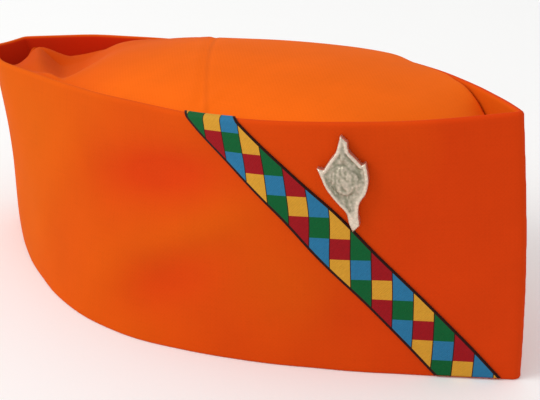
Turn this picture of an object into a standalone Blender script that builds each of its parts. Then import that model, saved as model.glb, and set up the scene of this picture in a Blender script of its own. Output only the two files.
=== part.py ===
"""Pahadi cap: a folded cotton cap with a slanting woven ribbon and a silver flower brooch.

Blender 4.5, metres, +Z up. The cap stands on its rim at Z = 0. Its front crease is at +X, its
blunt back end at -X, and the ribbon and the brooch are on the side that looks to -Y.
The band is the same on both sides of the XZ plane, apart from the soft hollows of the ribbon's
side.
"""

import math

import bmesh
import bpy
import numpy as np
from mathutils import Matrix, Vector

MM = 0.001
GAP = 0.3 * MM  # clearance between pieces that touch

# Band: two plies of cotton with a stiffener, folded over along the top.
HEAD_ROUND = 570 * MM  # once round the rim
WALL = 2.4 * MM
FRONT_RIM_X = 131.18 * MM
FRONT_TOP_X = 123.58 * MM
CREASE_RADIUS = 2.7 * MM
RIM_CHAMFER = 0.5 * MM
BACK_BOW = 1.6 * MM  # the back end is hollow by this at half height
FRONT_BOW = 1.1 * MM  # the sides swell out by this near the front crease
BOW_REACH = 0.2  # share of the side over which each bow fades out
SHORTEST_STEP = 0.9 * MM
LONGEST_STEP = 7.5 * MM
LARGEST_TURN = 11.0  # degrees between two stations
CREASE_TURNS = (0.0, 0.4, 0.75)  # points on the rounded crease, as shares of its turn
LEVELS = 6
FOLD_STEPS = 5

# One side of the band from the front crease to the middle of the back end.
# along: share of the side's length; rim_turn and top_turn: how far the rim and the top edge
# spread from straight back there, in degrees; height: from rim to top edge, in mm.
SIDE_SECTIONS = (
    # along, rim_turn, top_turn, height
    (0.000, 33.0, 44.0, 96.0),
    (0.100, 33.0, 36.0, 93.5),
    (0.250, 29.5, 24.0, 90.3),
    (0.450, 13.5, -4.0, 86.0),
    (0.650, -17.0, -12.0, 81.0),
    (0.800, -33.0, -13.0, 78.0),
    (0.900, -34.0, -37.0, 76.2),
    (0.955, -42.0, -38.0, 75.5),
    (0.975, -90.0, -90.0, 75.2),
    (1.000, -90.0, -90.0, 75.0),
)

# Soft hollows and swellings of the ribbon's side, in mm.
# along and up: the middle; slope: how far its long way rises to the front, in degrees;
# reach_long and reach_wide: how far it spreads along that way and across it; out: outward if
# positive.
SOFT_SPOTS = (
    # along, up, reach_long, reach_wide, slope, out
    (132.0, 60.0, 30.0, 9.0, 8.0, -1.9),
    (116.0, 43.0, 34.0, 8.0, 26.0, 1.2),
    (126.0, 20.0, 22.0, 9.0, 28.0, -1.3),
    (66.0, 20.0, 16.0, 12.0, 20.0, -0.6),
    (208.0, 60.0, 26.0, 20.0, 0.0, 0.7),
    (240.0, 10.0, 24.0, 18.0, 0.0, 1.7),
)

# Crown: soft cotton puffed up between the two sides of the band.
CROWN_CLOTH = 1.6 * MM
CROWN_TIP_RADIUS = 5.2 * MM
CROWN_HEM = 6 * MM
CROWN_ROLL = 3.4 * MM  # radius with which the cloth turns down into the hem
CROWN_ROLL_STEPS = 3
CROWN_ROLL_ANGLE = 70.0
CROWN_RINGS = 8
SPINE_FRONT_X = 102 * MM
SPINE_BACK_X = -111 * MM
BACK_SLANT = 0.8  # the crown's back slope runs aslant, further back on the far side
SLANT_FROM = -48 * MM  # it grows from here over its reach, and ends at the back
SLANT_REACH = 26 * MM
SLANT_END = -124 * MM
SLANT_END_REACH = 20 * MM

# Crown from the back to the front, in mm.
# along_x: place on the cap's length; near_drop and far_drop: how far the crown's edge lies below
# the top of the band, on the ribbon's side and on the other; middle_rise: how far the crown's
# middle stands above (or below) the top of the band.
CROWN_SECTIONS = (
    # along_x, near_drop, far_drop, middle_rise
    (-127.0, 19.0, 19.0, -20.0),
    (-118.0, 13.0, 13.0, -15.0),
    (-109.0, 9.0, 9.3, -9.5),
    (-97.0, 7.8, 6.4, -8.4),
    (-84.0, 7.2, 4.2, -7.4),
    (-74.0, 5.8, 2.0, -2.8),
    (-62.0, 4.0, 0.0, 2.7),
    (-45.0, 1.8, -0.9, 6.3),
    (-20.0, 1.1, -0.9, 8.8),
    (0.0, 1.0, -0.9, 9.4),
    (40.0, 1.0, -0.8, 8.0),
    (60.0, 1.0, 0.1, 5.5),
    (76.0, 1.2, 1.4, 2.2),
    (86.0, 2.6, 3.0, -0.4),
    (93.0, 5.5, 5.4, -3.2),
    (100.0, 8.5, 8.5, -7.0),
    (120.0, 15.0, 15.0, -16.0),
)

# The fold across the crown's back end: a crest near the back wall, steep behind, that falls off
# to the front beyond a ridge which runs to the ribbon's side.
FOLD_HEIGHT = 8.6 * MM
FOLD_PEAK = (-110.5 * MM, 0.0)
FOLD_BEHIND = 7.5 * MM
FOLD_FRONT = 12 * MM
FOLD_FRONT_WAY = (0.671, 0.741)  # plan direction in which it falls off on the ribbon's side
FOLD_FAR_WAY = (0.87, -0.5)  # and on the far side
FOLD_NEAR_REACH = 24 * MM
FOLD_NEAR_LOSS = 0.45  # share of its height that is gone at the ribbon's side
FOLD_FAR_REACH = 13 * MM
FOLD_FAR_LOSS = 0.75

# Ribbon: a narrow woven strip that runs from the rim up and back over the top fold.
RIBBON_WIDTH = 16.4 * MM
RIBBON_THICK = 0.8 * MM
RIBBON_LEAN = 44.2  # degrees back from upright, on the whole
# Where its middle line runs on the band, in mm.
RIBBON_RUN = (
    # up, from the front crease
    (0.0, 19.0),
    (12.0, 29.2),
    (28.0, 43.8),
    (44.0, 59.2),
    (58.0, 71.9),
    (70.0, 85.4),
    (82.0, 99.5),
    (95.0, 114.5),
)
RIBBON_FOOT = 0.9 * MM
RIBBON_ROWS = 22
RIBBON_COLUMNS = 4
RIBBON_OVER_FOLD = 150.0  # how far it goes round the top fold, in degrees

# Brooch: a cast flower bud on a short stem, with a plain bar behind it.
BROOCH_ALONG = 58.6 * MM
BROOCH_UP = 70 * MM
BROOCH_THICK = 2.8 * MM  # from its back to the top of its raised rim
BROOCH_EDGE = 0.5 * MM
BROOCH_RIM = 0.7 * MM
BROOCH_SINK = 0.6 * MM  # its field lies this far below its rim
BAR_LENGTH = 15 * MM
BAR_WIDTH = 2.6 * MM
BAR_THICK = 1.1 * MM
BAR_RAISE = 1.5 * MM  # its middle above the brooch's middle

# The bud's outline, seen from outside, in mm from the brooch's middle.
# toward_front: along the band to the front crease; up: up the band.
BUD_OUTLINE = (
    # toward_front, up
    (-2.0, 17.6),  # tip of the middle petal
    (-2.6, 15.0),
    (-3.4, 11.8),
    (-5.4, 8.7),
    (-7.2, 5.5),
    (-9.4, 5.9),  # tip of the back petal
    (-7.9, 2.4),
    (-6.9, 0.1),
    (-5.6, -2.1),
    (-3.8, -4.4),
    (-1.8, -6.6),
    (0.6, -9.2),  # stem
    (1.5, -12.6),
    (2.9, -15.8),
    (5.1, -13.4),
    (4.5, -8.2),
    (5.1, -5.0),
    (6.9, -1.8),
    (7.6, 2.2),
    (7.3, 5.2),
    (6.5, 8.8),  # tip of the front petal
    (5.2, 8.1),
    (3.2, 10.1),
    (0.9, 12.6),
    (0.3, 15.7),
)

DOME_ROOT = 0.15 * MM  # the domes' widest level lies this far down in the field
# Raised parts of the bud's relief: low domes on its field, in mm.
# lean: how far the dome's top leans to the front crease, in degrees; rise: above the field.
BUD_DOMES = (
    # toward_front, up, half_width, half_length, lean, rise
    (0.1, 2.2, 4.8, 5.2, 0.0, 1.0),
    (-1.1, 11.0, 1.0, 2.6, -3.0, 0.6),
    (2.85, -9.9, 0.6, 3.2, -11.0, 0.6),
)

FINE = np.linspace(0.0, 1.0, 1601)  # shares of one side's length, from the crease to the back
NEAR_FRONT = np.clip(1 - FINE / BOW_REACH, 0.0, 1.0)
NEAR_BACK = np.clip(1 - (1 - FINE) / BOW_REACH, 0.0, 1.0)


def smooth_curve(places, values):
    """A smooth curve through one column of a table, which never swings past its rows."""
    places = np.asarray(places, dtype=float)
    values = np.asarray(values, dtype=float)
    steps = np.diff(places)
    slopes = np.diff(values) / steps
    tangents = np.zeros(len(values))
    tangents[0] = slopes[0]
    tangents[-1] = slopes[-1]
    for i in range(1, len(values) - 1):
        before, after = slopes[i - 1], slopes[i]
        if before * after > 0:
            weight_before = 2 * steps[i] + steps[i - 1]
            weight_after = steps[i] + 2 * steps[i - 1]
            both = weight_before + weight_after
            tangents[i] = both / (weight_before / before + weight_after / after)

    def at(place):
        place = np.asarray(place, dtype=float)
        k = np.clip(np.searchsorted(places, place, side="right") - 1, 0, len(steps) - 1)
        t = np.clip((place - places[k]) / steps[k], 0.0, 1.0)
        ease = t * t * (3 - 2 * t)
        lift = steps[k] * t * (1 - t) * (tangents[k] * (1 - t) - tangents[k + 1] * t)
        return values[k] * (1 - ease) + values[k + 1] * ease + lift

    return at


def column(table, index):
    """One column of a table."""
    return [row[index] for row in table]


def side_line(turn_column, front_x):
    """The plan of one edge of one side: walk back from the front crease by the headings."""
    turns = smooth_curve(column(SIDE_SECTIONS, 0), column(SIDE_SECTIONS, turn_column))
    headings = np.radians(turns(FINE))
    middle = (headings[1:] + headings[:-1]) / 2
    step = HEAD_ROUND / 2 / (len(FINE) - 1)
    x = front_x - step * np.concatenate([[0.0], np.cumsum(np.cos(middle))])
    y = -step * np.concatenate([[0.0], np.cumsum(np.sin(middle))])
    # The last stretch takes up what is left, so that both sides meet at the back.
    y -= y[-1] * NEAR_BACK ** 2
    return x, y, headings


RIM_X, RIM_Y, RIM_HEADINGS = side_line(1, FRONT_RIM_X)
TOP_X, TOP_Y, TOP_HEADINGS = side_line(2, FRONT_TOP_X)
HEIGHTS = smooth_curve(column(SIDE_SECTIONS, 0), column(SIDE_SECTIONS, 3))(FINE) * MM


def side_stations():
    """Shares of the side's length at which the cap has points, closest where the cloth turns."""
    shares = [0.0]
    length = turn = 0.0
    step = HEAD_ROUND / 2 / (len(FINE) - 1)
    for i in range(1, len(FINE)):
        length += step
        rim_turn = abs(RIM_HEADINGS[i] - RIM_HEADINGS[i - 1])
        top_turn = abs(TOP_HEADINGS[i] - TOP_HEADINGS[i - 1])
        turn += math.degrees(max(rim_turn, top_turn))
        far_enough = length > LONGEST_STEP or turn > LARGEST_TURN
        if far_enough and length > SHORTEST_STEP:
            shares.append(FINE[i])
            length = turn = 0.0
    if length < 2 * SHORTEST_STEP:
        shares.pop()
    return np.array(shares + [1.0])


STATIONS = side_stations()


def softness(along, up):
    """How far the cloth of the ribbon's side stands out from its plain form."""
    out = np.zeros_like(along)
    for middle, level, reach_long, reach_wide, slope, swell in SOFT_SPOTS:
        lean = math.radians(slope)
        back, rise = along - middle * MM, up - level * MM
        far = ((rise * math.sin(lean) - back * math.cos(lean)) / (reach_long * MM)) ** 2
        wide = ((rise * math.cos(lean) + back * math.sin(lean)) / (reach_wide * MM)) ** 2
        out += swell * MM * np.exp(-far - wide)
    return out


def side_row(up, inset, soft=1.0):
    """A level line of one side (Y < 0) at the heights up, moved in from the outer face."""
    share = up / HEIGHTS
    x = RIM_X * (1 - share) + TOP_X * share
    y = RIM_Y * (1 - share) + TOP_Y * share
    along_x, along_y = np.gradient(x), np.gradient(y)
    length = np.hypot(along_x, along_y)
    inward_x, inward_y = along_y / length, -along_x / length
    ends = BACK_BOW * NEAR_BACK - FRONT_BOW * NEAR_FRONT ** 2
    bow = np.sin(math.pi * np.clip(share, 0, 1)) * ends
    depth = inset + bow - soft * softness(FINE * HEAD_ROUND / 2, up)
    return x + inward_x * depth, y + inward_y * depth, inward_x, inward_y


def half_ring(up, inset, tip_radius, soft):
    """One side's points from the front tip to the back, with a rounded front."""
    x, y, inward_x, inward_y = side_row(up, inset, soft)
    radius = tip_radius - inset
    centre_y = y + inward_y * radius
    start = int(np.argmax(centre_y < 0))
    centre_x = x[start] + inward_x[start] * radius
    edge_angle = math.atan2(-inward_y[start], -inward_x[start])
    points = []
    for turn in CREASE_TURNS:
        angle = edge_angle * turn
        tip = Vector((centre_x + radius * math.cos(angle), radius * math.sin(angle), up[start]))
        points.append(tip)
    first = FINE[start]
    for share in first + (1 - first) * STATIONS:
        place = [np.interp(share, FINE, values) for values in (x, y, up)]
        points.append(Vector(place))
    return points


def ring(near_up, far_up, inset, tip_radius=CREASE_RADIUS, soft=1.0):
    """A closed ring of points round the cap, which starts at the front and runs by -Y."""
    near = half_ring(near_up, inset, tip_radius, soft)
    far = half_ring(far_up, inset, tip_radius, 0.0)
    near[-1].y = 0.0
    mirrored = [Vector((p.x, -p.y, p.z)) for p in far[1:-1]]
    return near + mirrored[::-1]


def band_point(along, up, out):
    """A point at a distance out from the band's outer face on the ribbon's side."""
    share = along / (HEAD_ROUND / 2)
    top = float(np.interp(share, FINE, HEIGHTS))
    x, y, _, _ = side_row(HEIGHTS * (up / top), -out)
    return Vector((np.interp(share, FINE, x), np.interp(share, FINE, y), up))


def object_from(name, bm, material):
    """Turn a bmesh into an object with its material, shaded smooth between its sharp edges."""
    bmesh.ops.recalc_face_normals(bm, faces=bm.faces)
    mesh = bpy.data.meshes.new(name)
    bm.to_mesh(mesh)
    bm.free()
    mesh.materials.append(material)
    mesh.shade_smooth()
    mesh.set_sharp_from_angle(angle=math.radians(40))
    made = bpy.data.objects.new(name, mesh)
    bpy.context.scene.collection.objects.link(made)
    return made


def add_thickness(made, thickness, offset):
    """Give a sheet its thickness to one side of its faces."""
    solid = made.modifiers.new("Thickness", "SOLIDIFY")
    solid.thickness = thickness
    solid.offset = offset
    solid.use_even_offset = True


def plain_material(name, color, roughness, metallic=0.0):
    """A Principled material with one colour."""
    material = bpy.data.materials.new(name)
    material.use_nodes = True
    shader = material.node_tree.nodes["Principled BSDF"]
    shader.inputs["Base Color"].default_value = (*color, 1.0)
    shader.inputs["Roughness"].default_value = roughness
    shader.inputs["Metallic"].default_value = metallic
    return material


def band_rows():
    """The band's cross-section as (heights, inset) pairs, up the outside and down the inside."""
    flat = np.zeros_like(HEIGHTS)
    fold = WALL / 2
    rows = [(flat, RIM_CHAMFER), (flat + RIM_CHAMFER, 0.0)]
    rows += [(HEIGHTS * k / LEVELS, 0.0) for k in range(1, LEVELS)]
    for k in range(FOLD_STEPS + 1):
        angle = math.pi * k / FOLD_STEPS
        rise = fold * (1 - math.sin(angle))
        rows.append((HEIGHTS - rise, fold * (1 - math.cos(angle))))
    rows += [(HEIGHTS * k / LEVELS, WALL) for k in range(LEVELS - 1, 0, -1)]
    rows += [(flat + RIM_CHAMFER, WALL), (flat, WALL - RIM_CHAMFER)]
    return rows


def make_side_band(material):
    """The standing band: a wall that closes on itself, with a flat rim and a folded top."""
    bm = bmesh.new()
    rings = []
    for up, inset in band_rows():
        rings.append([bm.verts.new(p) for p in ring(up, up, inset)])
    count = len(rings[0])
    for k, lower in enumerate(rings):
        upper = rings[(k + 1) % len(rings)]
        for i in range(count):
            j = (i + 1) % count
            bm.faces.new((lower[i], lower[j], upper[j], upper[i]))
    return object_from("side_band", bm, material)


CROWN_X = [x * MM for x in column(CROWN_SECTIONS, 0)]
near_drop = smooth_curve(CROWN_X, [d * MM for d in column(CROWN_SECTIONS, 1)])
far_drop = smooth_curve(CROWN_X, [d * MM for d in column(CROWN_SECTIONS, 2)])
middle_rise = smooth_curve(CROWN_X, [d * MM for d in column(CROWN_SECTIONS, 3)])


def ease_in(t):
    """A soft step from 0 to 1."""
    t = np.clip(t, 0.0, 1.0)
    return t * t * (3 - 2 * t)


def top_height_at(x):
    """Height of the band's top edge at a place on the cap's length."""
    return np.interp(x, TOP_X[::-1], HEIGHTS[::-1])


def back_fold(x, y):
    """Height of the fold across the crown's back end."""
    x, y = x - FOLD_PEAK[0], y - FOLD_PEAK[1]
    beyond_near = x * FOLD_FRONT_WAY[0] + y * FOLD_FRONT_WAY[1]
    beyond_far = x * FOLD_FAR_WAY[0] + y * FOLD_FAR_WAY[1]
    behind = 1 - ease_in(-x / FOLD_BEHIND)
    front = 1 - ease_in(np.minimum(beyond_near, beyond_far) / FOLD_FRONT)
    near = 1 - FOLD_NEAR_LOSS * np.clip(-y / FOLD_NEAR_REACH, 0, 1) ** 2
    far = 1 - FOLD_FAR_LOSS * ease_in(y / FOLD_FAR_REACH)
    return FOLD_HEIGHT * behind * front * near * far


def crown_hem_rows(drop):
    """The crown's hem as heights along one side, from its lower edge to where it rolls over."""
    roll_rise = CROWN_ROLL * math.sin(math.radians(CROWN_ROLL_ANGLE))
    upper = HEIGHTS - drop - roll_rise
    return upper - CROWN_HEM, upper


def crown_rings():
    """Rings of the crown's outer face, from the hem's lower edge in towards the spine."""
    near_lower, near_upper = crown_hem_rows(near_drop(TOP_X) - back_fold(TOP_X, TOP_Y))
    far_lower, far_upper = crown_hem_rows(far_drop(TOP_X))
    inset = WALL + GAP
    hem = ring(near_lower, far_lower, inset, CROWN_TIP_RADIUS)
    border = ring(near_upper, far_upper, inset, CROWN_TIP_RADIUS)
    even_border = ring(near_upper, far_upper, inset, CROWN_TIP_RADIUS, soft=0.0)
    spine = []
    for p in even_border:
        x = min(max(p.x, SPINE_BACK_X), SPINE_FRONT_X)
        spine.append(Vector((x, 0.0, crown_level(x, 0.0, 1.0))))
    inward = [(Vector((s.x - p.x, s.y - p.y, 0.0))).normalized() for p, s in zip(border, spine)]
    rings = [hem, border]
    for k in range(1, CROWN_ROLL_STEPS + 1):
        angle = math.radians(CROWN_ROLL_ANGLE * k / CROWN_ROLL_STEPS)
        level = Vector((0.0, 0.0, CROWN_ROLL * math.sin(angle)))
        reach = CROWN_ROLL * (1 - math.cos(angle))
        rings.append([p + d * reach + level for p, d in zip(border, inward)])
    edge = rings[-1]
    for k in range(1, CROWN_RINGS):
        share = k / CROWN_RINGS
        rings.append([crown_middle(p, s, share) for p, s in zip(edge, spine)])
    return rings, spine


def crown_level(x, y, puff):
    """Height of the crown's face, from its edge (puff 0) to its middle (puff 1)."""
    edge = -near_drop(x) if y < 0 else -far_drop(x)
    slant = ease_in((SLANT_FROM - x) / SLANT_REACH) * ease_in((x - SLANT_END) / SLANT_END_REACH)
    level = edge + (middle_rise(x + BACK_SLANT * slant * y) - edge) * puff
    return float(top_height_at(x) + level + back_fold(x, y))


def crown_middle(edge, spine, share):
    """A point of the crown on the way from its edge to its spine."""
    point = edge.lerp(spine, share)
    puff = 1 - (1 - share) ** 2
    fit_at_edge = edge.z - crown_level(edge.x, edge.y, 0.0)
    point.z = crown_level(point.x, point.y, puff) + fit_at_edge * (1 - share) ** 2
    return point


def make_crown(material):
    """The crown: a puffed sheet whose two halves meet along a spine over the cap's middle."""
    bm = bmesh.new()
    rings, spine = crown_rings()
    count = len(spine)
    loops = [[bm.verts.new(p) for p in loop] for loop in rings]
    spine_verts = {}
    inner = []
    for p in spine:
        hundredths = round(p.x / MM * 100)
        if hundredths not in spine_verts:
            spine_verts[hundredths] = bm.verts.new(p)
        inner.append(spine_verts[hundredths])
    for outer, loop in zip(loops, loops[1:] + [inner]):
        for i in range(count):
            j = (i + 1) % count
            corners = [outer[i], outer[j], loop[j], loop[i]]
            kept = [v for k, v in enumerate(corners) if v not in corners[:k]]
            if len(kept) > 2:
                bm.faces.new(kept)
    made = object_from("crown", bm, material)
    add_thickness(made, CROWN_CLOTH, -1.0)
    return made


ribbon_middle = smooth_curve(column(RIBBON_RUN, 0), column(RIBBON_RUN, 1))


def ribbon_place(up, across):
    """How far from the front crease a point of the ribbon lies; across runs from -1 to 1."""
    half = RIBBON_WIDTH / 2 / math.cos(math.radians(RIBBON_LEAN))
    return float(ribbon_middle(up / MM)) * MM + across * half


def ribbon_point(run, across):
    """The ribbon's inner face: run goes up the band from 0 to 1, then on round the top fold."""
    fold = WALL / 2
    side = HEAD_ROUND / 2
    top = 0.0
    for _ in range(4):
        top = float(np.interp(ribbon_place(top, across) / side, FINE, HEIGHTS)) - fold
    if run <= 1.0:
        up = RIBBON_FOOT + (top - RIBBON_FOOT) * run
        return band_point(ribbon_place(up, across), up, GAP)
    angle = math.radians(run - 1.0)
    radius = fold + GAP
    along = ribbon_place(top + fold * angle, across)
    level = float(np.interp(along / side, FINE, HEIGHTS)) - fold
    point = band_point(along, level, radius * math.cos(angle) - fold)
    point.z = level + radius * math.sin(angle)
    return point


def make_ribbon(material):
    """The ribbon: a thin strip that lies on the band and turns over its top fold."""
    runs = [k / RIBBON_ROWS for k in range(RIBBON_ROWS + 1)]
    fold_step = 180.0 / FOLD_STEPS
    turns = [fold_step * k for k in range(1, int(RIBBON_OVER_FOLD / fold_step) + 1)]
    runs += [1.0 + turn for turn in turns]
    bm = bmesh.new()
    grid = []
    for run in runs:
        shares = [2 * c / RIBBON_COLUMNS - 1 for c in range(RIBBON_COLUMNS + 1)]
        grid.append([bm.verts.new(ribbon_point(run, share)) for share in shares])
    for lower, upper in zip(grid, grid[1:]):
        for c in range(RIBBON_COLUMNS):
            bm.faces.new((lower[c + 1], lower[c], upper[c], upper[c + 1]))
    bm.normal_update()
    made = object_from("ribbon_trim", bm, material)
    add_thickness(made, RIBBON_THICK, 1.0)
    return made


def brooch_frame():
    """Where the brooch sits: its back just off the band, its front straight out from it."""
    reach = 6 * MM
    centre = band_point(BROOCH_ALONG, BROOCH_UP, 0.0)
    to_front = band_point(BROOCH_ALONG - reach, BROOCH_UP, 0.0)
    to_back = band_point(BROOCH_ALONG + reach, BROOCH_UP, 0.0)
    above = band_point(BROOCH_ALONG, BROOCH_UP + reach, 0.0)
    below = band_point(BROOCH_ALONG, BROOCH_UP - reach, 0.0)
    front = (to_front - to_back).normalized()
    out = front.cross(above - below).normalized()
    up = out.cross(front)
    turn = Matrix((front, up, out)).transposed()
    return Matrix.LocRotScale(centre + out * GAP, turn, None)


def make_brooch(material, frame):
    """The bud: its outline raised to a plate with softened edges and a rim round its field."""
    bm = bmesh.new()
    face = bm.faces.new([bm.verts.new((x * MM, y * MM, 0.0)) for x, y in BUD_OUTLINE])
    raised = bmesh.ops.extrude_face_region(bm, geom=[face])
    tops = [v for v in raised["geom"] if isinstance(v, bmesh.types.BMVert)]
    bmesh.ops.translate(bm, vec=(0, 0, BROOCH_THICK), verts=tops)
    rim = [e for e in bm.edges if all(v in tops for v in e.verts)]
    bmesh.ops.bevel(bm, geom=rim, offset=BROOCH_EDGE, segments=2, profile=0.5, affect="EDGES")
    field = max(bm.faces, key=lambda f: f.calc_center_median().z)
    bmesh.ops.inset_region(bm, faces=[field], thickness=BROOCH_RIM, use_even_offset=True)
    bmesh.ops.translate(bm, vec=(0, 0, -BROOCH_SINK), verts=field.verts)
    made = object_from("flower_brooch", bm, material)
    made.matrix_world = frame
    return made


def make_domes(material, frame):
    """The low domes that are joined to the bud's field."""
    bm = bmesh.new()
    for toward_front, up, half_width, half_length, lean, rise in BUD_DOMES:
        place = Vector((toward_front * MM, up * MM, BROOCH_THICK - BROOCH_SINK - DOME_ROOT))
        turn = Matrix.Rotation(-math.radians(lean), 4, "Z")
        size = Matrix.Diagonal((half_width * MM, half_length * MM, rise * MM + DOME_ROOT, 1.0))
        where = Matrix.Translation(place) @ turn @ size
        bmesh.ops.create_uvsphere(bm, u_segments=20, v_segments=10, radius=1.0, matrix=where)
    made = object_from("bud_domes_form", bm, material)
    made.matrix_world = frame
    hide_form(made)
    return made


def hide_form(made):
    """Keep a form that only shapes another piece out of the way."""
    made.display_type = "WIRE"
    made.hide_render = True


def combine(made, form, operation):
    """Join a form to a piece or cut it away."""
    step = made.modifiers.new(form.name, "BOOLEAN")
    step.operation = operation
    step.solver = "EXACT"
    step.object = form


def make_bar(material, frame, cutter):
    """A plain bar behind the bud, or the slightly larger block that cuts its seat."""
    spare = GAP if cutter else 0.0
    bm = bmesh.new()
    bmesh.ops.create_cube(bm, size=1.0)
    size = (BAR_WIDTH + 2 * spare, BAR_LENGTH + 2 * spare, BAR_THICK + 2 * spare)
    bmesh.ops.scale(bm, vec=size, verts=bm.verts)
    bmesh.ops.translate(bm, vec=(0, BAR_RAISE, BAR_THICK / 2), verts=bm.verts)
    made = object_from("bar_seat_cutter" if cutter else "brooch_bar", bm, material)
    made.matrix_world = frame
    if cutter:
        hide_form(made)
    return made


def clear_scene():
    """Remove whatever the scene holds."""
    for old in list(bpy.data.objects):
        bpy.data.objects.remove(old, do_unlink=True)


def main():
    """Build the cap's pieces."""
    clear_scene()
    cotton = plain_material("orange_cotton", (0.74, 0.085, 0.008), 0.85)
    crown_cotton = plain_material("crown_cotton", (0.83, 0.12, 0.012), 0.85)
    weave = plain_material("woven_ribbon", (0.32, 0.18, 0.06), 0.7)
    silver = plain_material("cast_silver", (0.66, 0.66, 0.65), 0.35, 1.0)
    bar_steel = plain_material("bar_steel", (0.5, 0.5, 0.5), 0.4, 1.0)
    make_side_band(cotton)
    make_crown(crown_cotton)
    make_ribbon(weave)
    frame = brooch_frame()
    brooch = make_brooch(silver, frame)
    combine(brooch, make_domes(silver, frame), "UNION")
    combine(brooch, make_bar(bar_steel, frame, cutter=True), "DIFFERENCE")
    make_bar(bar_steel, frame, cutter=False)


main()
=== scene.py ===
"""Pahadi cap: the cloth, the ribbon, the brooch and the stage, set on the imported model.

Metres, +Z up. The cap stands on its rim at Z = 0. Its front crease is at +X, its blunt back end
at -X, and the ribbon and the brooch are on the side that looks to -Y.
"""

import math

import bmesh
import bpy
import numpy as np
from bpy.props import FloatProperty, FloatVectorProperty, PointerProperty
from mathutils import Euler, Matrix, Vector, noise


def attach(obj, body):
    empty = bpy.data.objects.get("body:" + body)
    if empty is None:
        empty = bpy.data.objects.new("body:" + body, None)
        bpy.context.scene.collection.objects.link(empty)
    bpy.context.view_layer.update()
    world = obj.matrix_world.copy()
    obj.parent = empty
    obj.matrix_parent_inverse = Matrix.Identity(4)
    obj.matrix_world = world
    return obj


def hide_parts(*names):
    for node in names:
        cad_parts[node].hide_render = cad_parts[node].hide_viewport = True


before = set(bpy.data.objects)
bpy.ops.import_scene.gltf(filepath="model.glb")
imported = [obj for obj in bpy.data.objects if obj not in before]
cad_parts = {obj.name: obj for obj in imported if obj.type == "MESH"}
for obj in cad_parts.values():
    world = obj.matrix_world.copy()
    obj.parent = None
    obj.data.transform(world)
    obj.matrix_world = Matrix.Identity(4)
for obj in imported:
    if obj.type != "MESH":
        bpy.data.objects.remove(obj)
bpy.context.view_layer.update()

bl_info = {
    "name": "Pahadi cap",
    "version": (1, 0, 0),
    "blender": (4, 5, 0),
    "location": "3D View > Sidebar > Cap",
    "description": "Builds a folded cotton cap with its woven ribbon, its brooch and a stage",
    "category": "Add Mesh",
}

MM = 0.001

# Band: the same form as the solid that it stands for.
HEAD_ROUND = 570 * MM  # once round the rim
HALF_ROUND = HEAD_ROUND / 2
WALL = 2.4 * MM
FOLD = WALL / 2  # radius of the fold along the top
FRONT_RIM_X = 131.18 * MM
FRONT_TOP_X = 123.58 * MM
CREASE_RADIUS = 2.7 * MM
BACK_BOW = 1.6 * MM  # the sides bow in at the back end, half way up
FRONT_BOW = 1.1 * MM  # and out at the front
BOW_REACH = 0.2  # over this share of their length
CREASE_TURNS = (0.0, 0.2, 0.4, 0.6, 0.8)  # points round the crease, in shares of its turn
HEM = 0.8 * MM  # radius of the rounded hem
HEM_ROWS = 5
OUTER_ROWS = 44
FOLD_ROWS = 11
INNER_ROWS = 30

# One side of the band from the front crease to the middle of the back end.
SIDE_SECTIONS = (
    # along, rim_turn, top_turn, height
    (0.000, 33, 44, 96),
    (0.100, 33, 36, 93.5),
    (0.250, 29.5, 24, 90.3),
    (0.450, 13.5, -4, 86),
    (0.650, -17, -12, 81),
    (0.800, -33, -13, 78),
    (0.900, -34, -37, 76.2),
    (0.955, -42, -38, 75.5),
    (0.975, -90, -90, 75.2),
    (1.000, -90, -90, 75),
)

# Soft hollows and swellings of the ribbon's side, in mm. Each is long toward the front crease
# and rises that way by its slope, in degrees.
SOFT_SPOTS = (
    # along, up, reach_long, reach_wide, slope, out
    (134, 62, 32, 10, 14, -3.1),
    (116, 46, 34, 7, 26, 1.3),
    (130, 23, 24, 10, 28, -1.9),
    (66, 20, 16, 12, 20, -0.6),
    (80, 30, 24, 20, 0, 1.1),
    (208, 60, 26, 20, 0, 0.7),
    (240, 10, 24, 18, 0, 1.7),
)

# Long low waves of cloth that has been folded and worn, on both sides, in mm.
CLOTH_WAVES = (
    # length_along, length_up, phase_along, phase_up, height
    (118, 96, 0.4, 0.2, 0.30),
    (71, 122, 2.1, 1.1, 0.22),
    (43, 64, 4, 2.3, 0.14),
    (27, 39, 1.2, 0.5, 0.07),
)
FRONT_CALM = 30 * MM  # the waves die out over this run to the front crease
BACK_CALM = 24 * MM  # and over this one to the back end

# The line pressed across the crown: the way square to it in plan, and its place along that way,
# in the room and on the crown's own cloth measures.
CREASE_WAY = (0.79, 0.613)
CREASE_RUN = -9.2 * MM
CREASE_RUN_ON_CLOTH = -7.3 * MM
CREASE_ROLL = (0.2 * MM, 6 * MM)  # height and reach of the low roll that it lies in
CREASE_CUT = (0.6 * MM, 1.3 * MM)  # depth and reach of the line itself

# Painted light and shade change the colours between two places on the cloth, or between two
# distances from a line.
BAND_LIGHT_RUN = (30 * MM, 240 * MM)  # painted light: the band grows lighter between these runs from the front crease
DENT_SHADE_RUN = 40  # painted shade: a dent 1 mm deep takes the colour of a place this many mm nearer to the crease
INNER_PLY = (0.2 * MM, 1.6 * MM)  # painted shade of the inner ply, past the top of the fold
FOLD_HIGHLIGHT = (2.6 * MM, 0.8 * MM)  # painted highlight, from the top of the fold
FOLD_PALER = 1.08
CROWN_BACK_SHADE = (-100 * MM, -20 * MM)  # painted shade of the fold at its back end, along the crown
CROWN_NEAR_LIGHT = (-20 * MM, -38 * MM)  # painted light toward its near edge, across it
CROWN_PALER = 1.07
CREASE_SHADE = (1.6 * MM, 0.2 * MM)  # painted shade, from the pressed line
CREASE_DARKER = 0.89
SLUB = (16.7 * MM, 2 / 3 * MM)  # length and thickness of a slub
DYE_PATCH = 22.2 * MM  # size of the patches in which the dye took unevenly

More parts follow.
